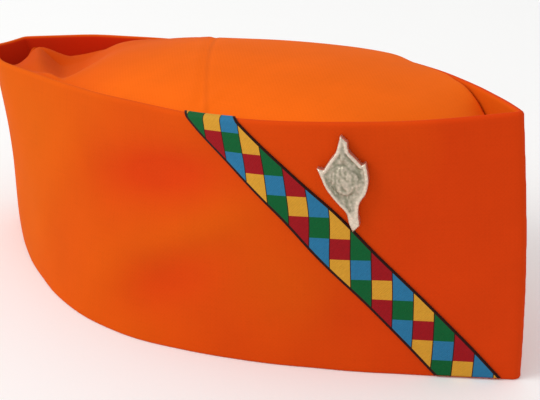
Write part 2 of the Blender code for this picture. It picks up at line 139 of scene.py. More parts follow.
# Crown from the back to the front, in mm.
# near_drop and far_drop: how far its edge lies below the band's top on each side;
# middle_rise: how far its middle stands above the band's top.
CROWN_SECTIONS = (
    # along_x, near_drop, far_drop, middle_rise
    (-127, 19, 19, -20),
    (-118, 13, 13, -15),
    (-109, 9, 9.3, -9.5),
    (-97, 7.8, 6.4, -8.4),
    (-84, 7.2, 4.2, -7.4),
    (-74, 5.8, 2, -2.8),
    (-62, 4, 0, 2.7),
    (-45, 1.8, -0.9, 6.3),
    (-20, 1.1, -0.9, 8.8),
    (0, 1, -0.9, 9.4),
    (40, 1, -0.8, 8),
    (60, 1, -0.35, 5.5),
    (76, 1.2, -0.3, 2.3),
    (87, 2.6, 0.3, -0.3),
    (96, 5.5, 3.4, -3.6),
    (103, 8.5, 8, -7.2),
    (120, 15, 15, -16),
)
CROWN_TIP_RADIUS = 5.2 * MM
SPINE_FRONT_X = 102 * MM
SPINE_BACK_X = -111 * MM
CROWN_RINGS = 48
RING_SPACING = 1.15  # rings lie a little closer at the crown's edge than in its middle
SIDE_BLEND = 3 * MM  # within this of the middle, one side's edge level passes into the other's
TUCK_LEVEL = 90 * MM
TUCK_SHARE = 0.4  # share of the height from that level that goes into the measure across
FULL_LAP = 0.9 * MM  # where the crown's edge stands this high, its cloth laps the top fold
BACK_SLANT = 0.8  # the crown's back slope runs aslant, further back on the far side
SLANT_FROM = -48 * MM
SLANT_REACH = 26 * MM
SLANT_END = -124 * MM
SLANT_END_REACH = 20 * MM

# The fold across the crown's back end: a crest near the back wall, steep behind, that falls off
# to the front beyond a ridge which runs to the ribbon's side.
FOLD_HEIGHT = 8.6 * MM
FOLD_PEAK = (-110.5 * MM, 0.0)
FOLD_BEHIND = 7.5 * MM
FOLD_FRONT = 12 * MM
FOLD_FRONT_WAY = (0.671, 0.741)  # plan direction in which it falls off on the ribbon's side
FOLD_FAR_WAY = (0.87, -0.5)  # and on the far side
FOLD_NEAR_REACH = 24 * MM
FOLD_NEAR_LOSS = 0.45  # share of its height that is gone at the ribbon's side
FOLD_FAR_REACH = 13 * MM
FOLD_FAR_LOSS = 0.75

# How the crown's cloth turns over at its edge, in mm.
# level_in and inset_in: where it lies inside the band, from its own edge level;
# level_over and inset_over: where it laps the top fold, from the band's top.
CROWN_EDGE = (
    # level_in, inset_in, level_over, inset_over
    (-11, 2.7, -10, 2.7),
    (-8, 2.7, -7, 2.7),
    (-5.4, 2.7, -4.4, 2.7),
    (-3, 2.7, -2.4, 2.7),
    (-2, 2.75, -1.3, 2.62),
    (-1.3, 2.9, -0.5, 2.35),
    (-0.8, 3.15, 0, 1.95),
    (-0.4, 3.5, 0.3, 1.55),
    (0, 4, 0.7, 1.3),
    (0.3, 4.6, 1.2, 1.4),
    (0.5, 5.3, 1.8, 2.1),
)

# Ribbon: where its middle line runs on the band, in mm.
RIBBON_RUN = (
    # up, along
    (0, 19),
    (12, 29.2),
    (28, 43.8),
    (44, 59.2),
    (58, 71.9),
    (70, 85.4),
    (82, 99.5),
    (95, 114.5),
)
RIBBON_LEAN = 44.2  # degrees back from upright, on the whole
RIBBON_PHASE = 2.17 * MM  # how far the pattern's start is cut away at the ribbon's foot
RIBBON_FOOT = 0.9 * MM
RIBBON_LIFT = 0.12 * MM
RIBBON_OVER_FOLD = 118.0  # how far it goes round the top fold, in degrees
RIBBON_ROWS = 110
RIBBON_FOLD_ROWS = 10
RIBBON_COLUMNS = 17
RIBBON_LINE = 0.022  # half the dark line between two columns of diamonds, of their pitch
RIB_PITCH = 0.6 * MM
WEFT = (2.5 * MM, MM / 3)  # an even stretch of a weft thread, and from one thread to the next
RIBBON_CROSSING = 106.5 * MM  # where it turns over the fold, along the band
RIBBON_CLEARANCE = 15 * MM  # how far to each side of that the crown's edge gives way
RIBBON_GIVE = 0.95 * MM

# Brooch: a cast flower bud on a short stem. What has no unit is in mm from its middle.
BROOCH_ALONG = 58.6 * MM
BROOCH_UP = 70 * MM
BROOCH_LIFT = 0.3 * MM
BROOCH_REACH = 6 * MM  # it is seated by the band this far round its middle
BUD_OUTLINE = (
    # toward_front, up, pointed
    (-2, 17.6, 1), (-2.6, 15, 0), (-3.4, 11.8, 0), (-5.4, 8.7, 0), (-7.2, 5.5, 1),
    (-9.4, 5.9, 1), (-7.9, 2.4, 0), (-6.9, 0.1, 0), (-5.6, -2.1, 0), (-3.8, -4.4, 0),
    (-1.8, -6.6, 0), (0.6, -9.2, 0), (1.5, -12.6, 0), (2.9, -15.8, 1), (5.1, -13.4, 1),
    (4.5, -8.2, 0), (5.1, -5, 0), (6.9, -1.8, 0), (7.6, 2.2, 0), (7.3, 5.2, 0),
    (6.5, 8.8, 1), (5.2, 8.1, 1), (3.2, 10.1, 0), (0.9, 12.6, 0), (0.3, 15.7, 1),
)
# Raised parts of the bud's relief: low domes on its field, in mm.
BUD_DOMES = (
    # toward_front, up, half_width, half_length, lean, rise
    (0.1, 2.2, 4.8, 5.2, 0, 1),
    (-1.1, 11, 1, 2.6, -3, 0.6),
    (2.85, -9.9, 0.6, 3.2, -11, 0.6),
)
DOME_ROOT = 0.15
DOME_FULLNESS = 1.5
RIM_WIDTH = 0.9
RIM_ROUND = 0.55
STEM_TOP = -11.5  # from here down the stem is plain
STEM_REACH = 3.0
FIELD_SINK = 0.52
FIELD_REACH = 0.6
# Engraved lines of the bud: each is a curve from start to end that bends to its middle, in mm.
BUD_LINES = (
    # start, middle, end, depth
    ((-6.6, 4.3), (-0.5, 11.6), (5.3, 3.2), 0.34),
    ((-6.3, 3), (-5.4, -1.2), (1.3, -8.6), 0.36),
    ((-4.4, 4.8), (-6, 2.1), (-3.3, -1.4), 0.26),
    ((-3, 5.4), (-4.3, 0.9), (-1.3, -3.6), 0.3),
    ((-1.5, 6.2), (-2, 2.3), (-0.1, -1.2), 0.24),
    ((0.3, 6.1), (0, 3), (1.3, 1.5), 0.24),
    ((2.1, 5.3), (2.9, 3.4), (2.1, 1), 0.22),
    ((2.8, 0.4), (2, -1.8), (0.9, -4), 0.24),
    ((3.8, 6.9), (5.1, 4.9), (5, 2.6), 0.28),
    ((-0.4, -3.3), (0.7, -5.4), (1.2, -7.9), 0.26),
    ((-1.6, 12.2), (-2.4, 10.4), (-3.6, 8.2), 0.18),
    ((-0.2, 12), (0.4, 9.8), (2.4, 8.4), 0.26),
)
LINE_REACH = 0.36  # half the width of a line
LINE_EDGE = (0.8, 0.5)  # the lines end this far inside the outline, and fade over this much
# The casting is uneven: its lines stray and fade, and its ground is pebbled, in mm.
STRAY = 0.8
STRAY_SIZE = 2.3
WEAR = (0.8, 0.6)  # the lines' depth, and how much it varies
WEAR_SIZE = 1.9
PEBBLE = 0.13
PEBBLE_SIZE = 0.85
# How dark it has tarnished: on its field, less on its domes and its pebbles, and in its lines.
FIELD_DARK = 0.62
DOME_RUB = 0.15
PEBBLE_RUB = 0.5
DARK_CUT = 0.48
NET = 0.36  # spacing of the points of its face
# The seat of the bar in the bud's back, in mm.
SEAT_HALF_WIDTH = 1.6
SEAT_UP = (-6.3, 9.3)
SEAT_DEPTH = 1.4

# Stage.
FLOOR_HALF = 3.0
KEY_WAY = (-0.46, -0.62, 0.60)  # direction to the light
KEY_DISTANCE = 3.0
KEY_SIZE = 1.6
VIEW_AZIMUTH = 38.74  # degrees round from the ribbon's side to the front
VIEW_ELEVATION = 22.67
VIEW_DISTANCE = 498.2 * MM
VIEW_TARGET = (18.5, 0.0, 38.1)  # in mm
VIEW_LENS = 1300 / 540  # in widths of the picture
SENSOR_WIDTH = 36.0

FINE = np.linspace(0.0, 1.0, 1601)  # shares of one side's length, from the crease to the back
FINE_STEP = HALF_ROUND / (len(FINE) - 1)
NEAR_FRONT = np.clip(1 - FINE / BOW_REACH, 0.0, 1.0)
NEAR_BACK = np.clip(1 - (1 - FINE) / BOW_REACH, 0.0, 1.0)


def linear(code):
    """The linear colour of an sRGB hex value."""
    parts = [int(code[k:k + 2], 16) / 255 for k in (0, 2, 4)]
    return tuple(c / 12.92 if c <= 0.04045 else ((c + 0.055) / 1.055) ** 2.4 for c in parts)


def colour(name, description, code):
    """A colour setting with its default as an sRGB hex value."""
    return FloatVectorProperty(
        name=name, description=description, default=linear(code), subtype="COLOR", min=0, max=1
    )


def number(name, description, default, **more):
    """A setting that is never below 0."""
    return FloatProperty(name=name, description=description, default=default, min=0, **more)


def length(name, description, default):
    """A length setting in metres."""
    return number(name, description, default, subtype="DISTANCE", unit="LENGTH")


class ClothSettings(bpy.types.PropertyGroup):
    """Colours and threads of the cap's cotton, with the colours of its painted light and shade."""

    # The band's colour at its back end, made lighter there by painted light.
    band_lit_colour: colour("Band", "Cotton of the band at its back end, a little faded", "D65A05")
    # Painted shade: the band is darker toward its front crease.
    front_shaded_colour: colour("Band's front", "Cotton of the band toward its front crease", "D03C08")
    # Painted shade deep inside the fold.
    inner_shaded_colour: colour("Inner ply", "Unfaded cotton inside the fold", "C22806")
    crown_colour: colour("Crown", "Cotton of the puffed crown", "EC640A")
    # Painted shade on the fold at the crown's back end.
    fold_shaded_colour: colour("Crown's fold", "Unfaded cotton of the fold at its back end", "D24A06")
    thread_pitch: length("Thread pitch", "From one thread of the cotton to the next", 0.8 * MM)
    wave_share: number(
        "Waves", "How much of the cloth's long low waves shows", 1.0, max=1, subtype="FACTOR"
    )


class RibbonSettings(bpy.types.PropertyGroup):
    """Sizes and colours of the woven ribbon."""

    width: length("Width", "Across the ribbon, with its dark edges", 16.4 * MM)
    thickness: length("Thickness", "Of the woven ribbon", 0.5 * MM)
    pitch: length("Diamond pitch", "From one diamond to the next along the ribbon", 10.22 * MM)
    edge: length("Edge", "Width of each dark edge", 0.9 * MM)
    blue: colour("Blue", "Blue diamonds", "256F98")
    green: colour("Green", "Green diamonds", "00592A")
    yellow: colour("Yellow", "Yellow diamonds", "CE942A")
    red: colour("Red", "Red diamonds", "950813")
    dark: colour("Edge colour", "Edges and outlines", "2A0602")


class BroochSettings(bpy.types.PropertyGroup):
    """Sizes and colours of the cast brooch."""

    thickness: length("Thickness", "From the bud's back to the top of its rim", 2.8 * MM)
    silver: colour("Silver", "Raised metal", "EAD8C4")
    tarnish: colour("Tarnish", "Metal down in the engraving", "9A9680")


class StageSettings(bpy.types.PropertyGroup):
    """Floor, light and camera."""

    floor_colour: colour("Floor", "Pale floor", "FBFBFA")
    key_power: number("Key light", "Strength in watts", 38.0)
    sky: number("Sky", "Strength of the even light", 0.78)


def ease_in(t):
    """A soft step from 0 to 1."""
    t = np.clip(t, 0.0, 1.0)
    return t * t * (3 - 2 * t)


def smooth_curve(table, index, unit=1.0):
    """A smooth curve through one column of a table, which never swings past its rows."""
    places, values = np.array([(row[0], row[index]) for row in table]).T * unit
    steps = np.diff(places)
    slopes = np.diff(values) / steps
    tangents = np.zeros(len(values))
    tangents[[0, -1]] = slopes[[0, -1]]
    for i in range(1, len(values) - 1):
        before, after = slopes[i - 1], slopes[i]
        if before * after > 0:
            weights = 2 * steps[i] + steps[i - 1], steps[i] + 2 * steps[i - 1]
            tangents[i] = sum(weights) / (weights[0] / before + weights[1] / after)

    def at(place):
        place = np.asarray(place, dtype=float)
        k = np.clip(np.searchsorted(places, place, side="right") - 1, 0, len(steps) - 1)
        t = np.clip((place - places[k]) / steps[k], 0.0, 1.0)
        ease = ease_in(t)
        lift = steps[k] * t * (1 - t) * (tangents[k] * (1 - t) - tangents[k + 1] * t)
        return values[k] * (1 - ease) + values[k + 1] * ease + lift

    return at


def side_line(turn_column, front_x):
    """The plan of one edge of one side: walk back from the front crease by the headings."""
    headings = np.radians(smooth_curve(SIDE_SECTIONS, turn_column)(FINE))
    middle = (headings[1:] + headings[:-1]) / 2
    x = front_x - FINE_STEP * np.concatenate([[0.0], np.cumsum(np.cos(middle))])
    y = -FINE_STEP * np.concatenate([[0.0], np.cumsum(np.sin(middle))])
    y -= y[-1] * NEAR_BACK ** 2
    return x, y, headings


RIM_X, RIM_Y, RIM_HEADINGS = side_line(1, FRONT_RIM_X)
TOP_X, TOP_Y, TOP_HEADINGS = side_line(2, FRONT_TOP_X)
HEIGHTS = smooth_curve(SIDE_SECTIONS, 3)(FINE) * MM


def side_stations(longest, shortest, largest_turn):
    """Shares of the side's length at which the cloth has points, closest where it turns."""
    shares = [0.0]
    run = turn = 0.0
    turns = np.abs(np.diff([RIM_HEADINGS, TOP_HEADINGS])).max(axis=0)
    for place, more in zip(FINE[1:], np.degrees(turns)):
        run += FINE_STEP
        turn += more
        if (run > longest or turn > largest_turn) and run > shortest:
            shares.append(place)
            run = turn = 0.0
    if run < shortest:
        shares.pop()
    return np.array(shares + [1.0])


STATIONS = side_stations(2.2 * MM, 0.5 * MM, 4.0)


def softness(along, up, side):
    """How far the cloth stands out from its plain form; side is -1 for the ribbon's side."""
    out = np.zeros_like(along)
    if side < 0:
        for middle, level, reach_long, reach_wide, slope, swell in SOFT_SPOTS:
            lean = math.radians(slope)
            back, rise = along - middle * MM, up - level * MM
            far = ((rise * math.sin(lean) - back * math.cos(lean)) / (reach_long * MM)) ** 2
            wide = ((rise * math.cos(lean) + back * math.sin(lean)) / (reach_wide * MM)) ** 2
            out += swell * MM * np.exp(-far - wide)
    amount = bpy.context.scene.cap_cloth.wave_share
    fade = ease_in(along / FRONT_CALM) * ease_in((HALF_ROUND - along) / BACK_CALM)
    for length_along, length_up, phase_along, phase_up, height in CLOTH_WAVES:
        across = np.sin(2 * math.pi * along / (length_along * MM) + phase_along + side)
        level = np.cos(2 * math.pi * up / (length_up * MM) + phase_up * side)
        out += amount * fade * height * MM * across * level
    return out


def side_row(up, inset, side):
    """A level line of one side, drawn at Y < 0: at the heights up, in from the outer face."""
    share_up = up / HEIGHTS
    x = RIM_X * (1 - share_up) + TOP_X * share_up
    y = RIM_Y * (1 - share_up) + TOP_Y * share_up
    along_x, along_y = np.gradient(x), np.gradient(y)
    size = np.hypot(along_x, along_y)
    inward_x, inward_y = along_y / size, -along_x / size
    ends = BACK_BOW * NEAR_BACK - FRONT_BOW * NEAR_FRONT ** 2
    bow = np.sin(math.pi * np.clip(share_up, 0, 1)) * ends
    depth = inset + bow - softness(FINE * HALF_ROUND, up, side)
    return x + inward_x * depth, y + inward_y * depth, inward_x, inward_y


def half_ring(up, inset, tip_radius, side):
    """One side's points from the front tip to the back, with a rounded front."""
    x, y, inward_x, inward_y = side_row(up, inset, side)
    radius = tip_radius - np.ravel(inset)[0]
    centre_y = y + inward_y * radius
    start = int(np.argmax(centre_y < 0))
    centre_x = x[start] + inward_x[start] * radius
    edge_angle = math.atan2(-inward_y[start], -inward_x[start])
    angles = edge_angle * np.array(CREASE_TURNS)
    level = np.full(len(angles), up[start])
    tip = np.column_stack([centre_x + radius * np.cos(angles), radius * np.sin(angles), level])
    places = FINE[start] + (1 - FINE[start]) * STATIONS
    flank = np.column_stack([np.interp(places, FINE, values) for values in (x, y, up)])
    return np.vstack([tip, flank])


def ring(near_row, far_row, tip_radius):
    """A closed ring of points round the cap, which starts and ends at the front. Each row is the
    heights and the inset of one side."""
    near = half_ring(*near_row, tip_radius, -1)
    far = half_ring(*far_row, tip_radius, 1)
    near[-1, 1] = 0.0
    far[:, 1] *= -1
    far[0] = near[0]
    far[-1] = near[-1]
    return np.vstack([near, far[-2::-1]])


def band_height(along):
    """Height of the band's top at a run along it from the front crease."""
    return float(np.interp(along / HALF_ROUND, FINE, HEIGHTS))


def band_point(along, up, out):
    """A point at a distance out from the band's outer face on the ribbon's side."""
    x, y, _, _ = side_row(HEIGHTS * (up / band_height(along)), -out, -1)
    return Vector((*(np.interp(along / HALF_ROUND, FINE, line) for line in (x, y)), up))


# A Mix node's two colours among its inputs, and their mix among its outputs.
MIX_A, MIX_B, MIXED = 6, 7, 2


def add_node(tree, kind, inputs=(), **settings):
    """Add a shader node with its settings and links, and return its outputs.

    The inputs are in the node's order or by name, each a value or the output that feeds it.
    """
    made = tree.nodes.new("ShaderNode" + kind)
    for name, value in settings.items():
        setattr(made, name, value)
    for key, value in inputs.items() if isinstance(inputs, dict) else enumerate(inputs):
        socket = made.inputs[key]
        if isinstance(value, bpy.types.NodeSocket):
            tree.links.new(value, socket)
        else:
            socket.default_value = (*value, 1.0) if socket.type == "RGBA" else value
    return made.outputs


def new_material(name, **values):
    """A material with one Principled shader, and its node tree."""
    material = bpy.data.materials.new(name)
    material.use_nodes = True
    tree = material.node_tree
    shader = tree.nodes["Principled BSDF"]
    for key, value in values.items():
        shader.inputs[key.replace("_", " ")].default_value = value
    return material, tree, shader


def shaded(tree, base, factor, dark, light):
    """A colour times a factor that runs from dark to light."""
    span = {"Value": factor, "To Min": dark, "To Max": light}
    times = {0: base, "Scale": add_node(tree, "MapRange", span)["Result"]}
    return add_node(tree, "VectorMath", times, operation="SCALE")["Vector"]


def streaks(tree, place, size, detail=2.0):
    """Noise that is drawn out along one way of the cloth; size is its length and width."""
    scale = (1 / size[0], 1 / size[1], 1.0)
    mapped = add_node(tree, "Mapping", {"Vector": place, "Scale": scale})["Vector"]
    return add_node(tree, "TexNoise", {"Vector": mapped, "Scale": 1.0, "Detail": detail})["Fac"]


def finish_surface(tree, shader, tone, rise, strength, depth):
    """Give a shader its colour, and the low relief of a rise."""
    relief = {"Height": rise, "Strength": strength, "Distance": depth}
    tree.links.new(tone, shader.inputs["Base Color"])
    tree.links.new(add_node(tree, "Bump", relief)["Normal"], shader.inputs["Normal"])


def thread_height(tree, place, pitch):
    """Plain weave: threads that go over and under each other, from 0 to 1."""
    parts = add_node(tree, "SeparateXYZ", {"Vector": place})
    waves = []
    for axis in ("X", "Y"):
        turn = add_node(tree, "Math", (parts[axis], math.pi / pitch), operation="MULTIPLY")[0]
        waves.append(add_node(tree, "Math", (turn,), operation="SINE")[0])
    both = add_node(tree, "Math", waves, operation="MULTIPLY")[0]
    return add_node(tree, "Math", (both, 0.5, 0.5), operation="MULTIPLY_ADD")[0]


def band_dye_and_light(tree, place, settings):
    """The band's dyed colour, with painted light that makes it lighter toward its back end,
    painted shade deep inside the fold, and a painted highlight along its top.

    Painted shade darkens its dents, and painted light lightens it where the cloth stands out.
    """
    parts = add_node(tree, "SeparateXYZ", {"Vector": place})
    along = add_node(tree, "Math", (parts["X"], HALF_ROUND), operation="PINGPONG")[0]
    # Painted shade darkens the dents, and painted light lightens where the cloth stands out.
    swell = add_node(tree, "Attribute", attribute_name="Swell")["Fac"]
    light_run = add_node(tree, "Math", (swell, DENT_SHADE_RUN, along), operation="MULTIPLY_ADD")[0]
    # Painted light: the outside is lighter toward the back end and darker toward the front crease.
    worn_and_lit, painted_shade_ramp = (add_node(tree, "MapRange", (run, *BAND_LIGHT_RUN))[0] for run in (light_run, along))
    tone_pair = {0: worn_and_lit, MIX_A: settings.front_shaded_colour, MIX_B: settings.band_lit_colour}
    outer = add_node(tree, "Mix", tone_pair, data_type="RGBA")[MIXED]
    # Painted shade inside the fold, deeper toward the back end.
    tone_pair = {0: painted_shade_ramp, MIX_A: settings.band_lit_colour, MIX_B: settings.inner_shaded_colour}
    inner = add_node(tree, "Mix", tone_pair, data_type="RGBA")[MIXED]
    inside = add_node(tree, "MapRange", (parts["Y"], *INNER_PLY))[0]
    tone_pair = {0: inside, MIX_A: outer, MIX_B: inner}
    tone = add_node(tree, "Mix", tone_pair, data_type="RGBA")[MIXED]
    # A painted highlight along the top of the fold.
    from_fold = add_node(tree, "Math", (parts["Y"],), operation="ABSOLUTE")[0]
    rubbed_and_lit = add_node(tree, "MapRange", (from_fold, *FOLD_HIGHLIGHT))[0]
    return shaded(tree, tone, rubbed_and_lit, 1.0, FOLD_PALER)


def crown_dye_and_light(tree, place, settings):
    """The crown's dyed colour, with painted shade on the fold deep in its back end, painted light
    toward its near edge, and painted shade in the line that was pressed across it."""
    parts = add_node(tree, "SeparateXYZ", {"Vector": place})
    # Painted shade on the fold deep in the back end.
    painted_shade_ramp = add_node(tree, "MapRange", (parts["X"], *CROWN_BACK_SHADE))[0]
    tone_pair = {0: painted_shade_ramp, MIX_A: settings.fold_shaded_colour, MIX_B: settings.crown_colour}
    tone = add_node(tree, "Mix", tone_pair, data_type="RGBA")[MIXED]
    # Painted light toward the near edge.
    near = add_node(tree, "MapRange", (parts["Y"], *CROWN_NEAR_LIGHT))[0]
    rubbed_and_lit = add_node(tree, "Math", (near, painted_shade_ramp), operation="MULTIPLY")[0]
    tone = shaded(tree, tone, rubbed_and_lit, 1.0, CROWN_PALER)
    # Painted shade in the pressed line.
    ways = (place, (*CREASE_WAY, 0))
    run = add_node(tree, "VectorMath", ways, operation="DOT_PRODUCT")["Value"]
    past_line = add_node(tree, "Math", (run, CREASE_RUN_ON_CLOTH), operation="SUBTRACT")[0]
    away = add_node(tree, "Math", (past_line,), operation="ABSOLUTE")[0]
    pressed = add_node(tree, "MapRange", (away, *CREASE_SHADE))[0]
    return shaded(tree, tone, pressed, 1.0, CREASE_DARKER)


def dyed_cotton(name, dye_and_light):
    """Plain-weave cotton, piece-dyed: matt, with a faint warm glow where it turns away.

    The real threads are about 0.35 mm apart, less than a pixel of the view, so they are drawn at
    the thread pitch of the settings. Slubs, the thicker stretches of a thread, run both ways.
    """
    settings = bpy.context.scene.cap_cloth
    material, tree, shader = new_material(
        name, Roughness=0.9, IOR=1.46, Sheen_Weight=0.04, Sheen_Roughness=0.4,
        Sheen_Tint=(1.0, 0.45, 0.1, 1.0), Specular_IOR_Level=0.08,
    )
    place = add_node(tree, "UVMap", uv_map="Cloth")["UV"]
    tone = dye_and_light(tree, place, settings)
    weave = thread_height(tree, place, settings.thread_pitch)
    both_ways = streaks(tree, place, SLUB), streaks(tree, place, SLUB[::-1])
    slubs = add_node(tree, "Math", both_ways, operation="ADD")[0]
    uneven = streaks(tree, place, (DYE_PATCH, DYE_PATCH), 3.0)
    for factor, dark, light in ((slubs, 0.90, 1.0), (uneven, 0.93, 1.07), (weave, 0.985, 1.01)):
        tone = shaded(tree, tone, factor, dark, light)
    rise = add_node(tree, "Math", (slubs, 0.5, weave), operation="MULTIPLY_ADD")[0]
    finish_surface(tree, shader, tone, rise, 0.35, 0.05 * MM)
    return material


def lay_grid(name, places, measures, material, swells=None):
    """A sheet that starts as a flat grid and is laid out on its places, rows by columns.

    Its measures are the runs along and across the cloth, and swells is how far it stands out.
    """
    rows, columns = places.shape[:2]
    bm = bmesh.new()
    bmesh.ops.create_grid(bm, x_segments=columns - 1, y_segments=rows - 1, size=1.0)
    cloth = bm.loops.layers.uv.new("Cloth")
    swell = bm.verts.layers.float.new("Swell")
    cells = {
        vert: (round((vert.co.y + 1) / 2 * (rows - 1)), round((vert.co.x + 1) / 2 * (columns - 1)))
        for vert in bm.verts
    }
    for face in bm.faces:
        for loop in face.loops:
            loop[cloth].uv = measures[cells[loop.vert]]
    for vert, cell in cells.items():
        vert.co = places[cell]
        vert[swell] = 0.0 if swells is None else swells[cell]
    bmesh.ops.remove_doubles(bm, verts=bm.verts, dist=0.002 * MM)
    bmesh.ops.dissolve_degenerate(bm, edges=bm.edges, dist=0.002 * MM)
    bmesh.ops.recalc_face_normals(bm, faces=bm.faces)
    return finished(name, bm, material)


def finished(name, bm, material):
    """Turn a bmesh into an object with its material, shaded smooth."""
    mesh = bpy.data.meshes.new(name)
    bm.to_mesh(mesh)
    bm.free()
    mesh.materials.append(material)
    mesh.shade_smooth()
    return add_object(name, mesh)


def add_object(name, data):
    """Put an object of some data in the scene."""
    made = bpy.data.objects.new(name, data)
    bpy.context.scene.collection.objects.link(made)
    return made


def run_lengths(places, axis):
    """How far each point lies along its row or column of a grid of places."""
    steps = np.linalg.norm(np.diff(places, axis=axis), axis=2)
    start = np.zeros_like(np.take(steps, [0], axis=axis))
    return np.concatenate([start, np.cumsum(steps, axis=axis)], axis=axis)


def band_profile():
    """The band's cross-section as (heights, inset) pairs, up the outside and down the inside."""
    straight = HEIGHTS - FOLD - HEM
    hem = [
        (np.full_like(HEIGHTS, HEM * (1 - math.sin(angle))), HEM * (1 - math.cos(angle)))
        for angle in np.linspace(0, math.pi / 2, HEM_ROWS)
    ]
    rows = hem[::-1]
    rows += [(HEM + straight * k / OUTER_ROWS, 0.0) for k in range(1, OUTER_ROWS)]
    for angle in np.linspace(0, math.pi, FOLD_ROWS):
        rows.append((HEIGHTS - FOLD * (1 - math.sin(angle)), FOLD * (1 - math.cos(angle))))
    rows += [(HEM + straight * k / INNER_ROWS, WALL) for k in range(INNER_ROWS - 1, 0, -1)]
    rows += [(up, WALL - inset) for up, inset in hem]
    return rows + rows[:1]


def make_band():
    """The standing band: one folded wall that closes on itself at the front crease."""
    places = np.array([ring(row, row, CREASE_RADIUS) for row in band_profile()])
    half_up = len(places) // 4  # a row about half way up the outside
    around = np.repeat(run_lengths(places[half_up:half_up + 1], 1), len(places), axis=0)
    across = run_lengths(places, 0)
    past_fold = across - across[int(np.argmax(places[:, 0, 2]))]
    along, up = HALF_ROUND - np.abs(around - HALF_ROUND), places[:, :, 2]
    swells = np.where(around < HALF_ROUND, softness(along, up, -1), softness(along, up, 1))
    cotton = dyed_cotton("Dyed cotton band", band_dye_and_light)
    return lay_grid("folded_band", places, np.dstack([around, past_fold]), cotton, swells)


near_drop, far_drop, middle_rise = (smooth_curve(CROWN_SECTIONS, k, MM) for k in (1, 2, 3))


def crown_level(x, y, puff):
    """Height of the crown's face, from its edge (puff 0) to its middle (puff 1)."""
    far = ease_in((y / SIDE_BLEND + 1) / 2)
    edge = -near_drop(x) - (far_drop(x) - near_drop(x)) * far
    slant = ease_in((SLANT_FROM - x) / SLANT_REACH) * ease_in((x - SLANT_END) / SLANT_END_REACH)
    top = np.interp(x, TOP_X[::-1], HEIGHTS[::-1])
    return top + edge + (middle_rise(x + BACK_SLANT * slant * y) - edge) * puff


def back_fold(x, y):
    """Height of the fold across the crown's back end."""
    x, y = x - FOLD_PEAK[0], y - FOLD_PEAK[1]
    beyond_near = x * FOLD_FRONT_WAY[0] + y * FOLD_FRONT_WAY[1]
    beyond_far = x * FOLD_FAR_WAY[0] + y * FOLD_FAR_WAY[1]
    behind = 1 - ease_in(-x / FOLD_BEHIND)
    front = 1 - ease_in(np.minimum(beyond_near, beyond_far) / FOLD_FRONT)
    near = 1 - FOLD_NEAR_LOSS * np.clip(-y / FOLD_NEAR_REACH, 0, 1) ** 2
    far = 1 - FOLD_FAR_LOSS * ease_in(y / FOLD_FAR_REACH)
    return FOLD_HEIGHT * behind * front * near * far


def pressed_crease(x, y):
    """The faint line that was pressed across the crown, slanting back to the far side."""
    away = x * CREASE_WAY[0] + y * CREASE_WAY[1] - CREASE_RUN
    (roll, roll_reach), (cut, cut_reach) = CREASE_ROLL, CREASE_CUT
    return roll * np.exp(-(away / roll_reach) ** 2) - cut * np.exp(-(away / cut_reach) ** 2)


def crown_edge_row(side, drop, row):
    """Heights and inset of one side for a row of the crown's turned edge."""
    level_in, inset_in, level_over, inset_over = row
    lap = ease_in(-drop / FULL_LAP)
    fold = give = 0.0
    if side < 0:
        fold = back_fold(TOP_X, TOP_Y)
        # Where the ribbon turns over the top fold, the crown's edge gives way to it.
        from_ribbon = (FINE * HALF_ROUND - RIBBON_CROSSING) / RIBBON_CLEARANCE
        give = RIBBON_GIVE * np.exp(-(from_ribbon ** 4))
    inside = HEIGHTS - drop + level_in * MM + fold
    over = HEIGHTS + level_over * MM
    inset = (inset_in * (1 - lap) + inset_over * lap) * MM + give
    return inside * (1 - lap) + over * lap, inset


def make_crown():
    """The crown: a puffed sheet, tucked in all round, whose halves meet over the cap's middle."""
    near, far = near_drop(TOP_X), far_drop(TOP_X)
    rings = []
    for row in CROWN_EDGE:
        sides = crown_edge_row(-1, near, row), crown_edge_row(1, far, row)
        rings.append(ring(*sides, CROWN_TIP_RADIUS))
    edge = rings[-1]
    even_x = (edge[:, 0] + edge[::-1, 0]) / 2
    spine_x = np.clip(even_x, SPINE_BACK_X, SPINE_FRONT_X)
    spine = np.outer(spine_x, (1, 0, 0))

    def face(x, y, puff):
        return crown_level(x, y, puff) + back_fold(x, y) + pressed_crease(x, y)

    fit = edge[:, 2] - face(edge[:, 0], edge[:, 1], 0.0)
    for k in range(1, CROWN_RINGS + 1):
        part = (k / CROWN_RINGS) ** RING_SPACING
        flat = edge * (1 - part) + spine * part
        puff = 1 - (1 - part) ** 2
        flat[:, 2] = face(flat[:, 0], flat[:, 1], puff) + fit * (1 - part) ** 2
        rings.append(flat)
    places = np.array(rings)
    # The cotton's threads run straight along and across the crown, apart from its tucked edge.
    x, y, level = np.moveaxis(places, 2, 0)
    measures = np.dstack([x, y + (level - TUCK_LEVEL) * TUCK_SHARE])
    cotton = dyed_cotton("Dyed cotton crown", crown_dye_and_light)
    return turned_to((0, 0, 1), lay_grid("puffed_crown", places, measures, cotton))


def turned_to(way, made):
    """An open sheet with its outer face turned to look one way."""
    if sum(p.normal.dot(way) * p.area for p in made.data.polygons) < 0:
        made.data.flip_normals()
    return made


def add_thickness(made, thickness, offset):
    """Give a sheet its thickness to one side of its faces."""
    solid = made.modifiers.new("Thickness", "SOLIDIFY")
    solid.thickness = thickness
    solid.offset = offset


ribbon_middle = smooth_curve(RIBBON_RUN, 1)


def ribbon_place(up, across):
    """How far from the front crease a point of the ribbon lies; across runs from -1 to 1."""
    half = bpy.context.scene.cap_ribbon.width / 2
    return float(ribbon_middle(up / MM)) * MM + across * half / math.cos(math.radians(RIBBON_LEAN))


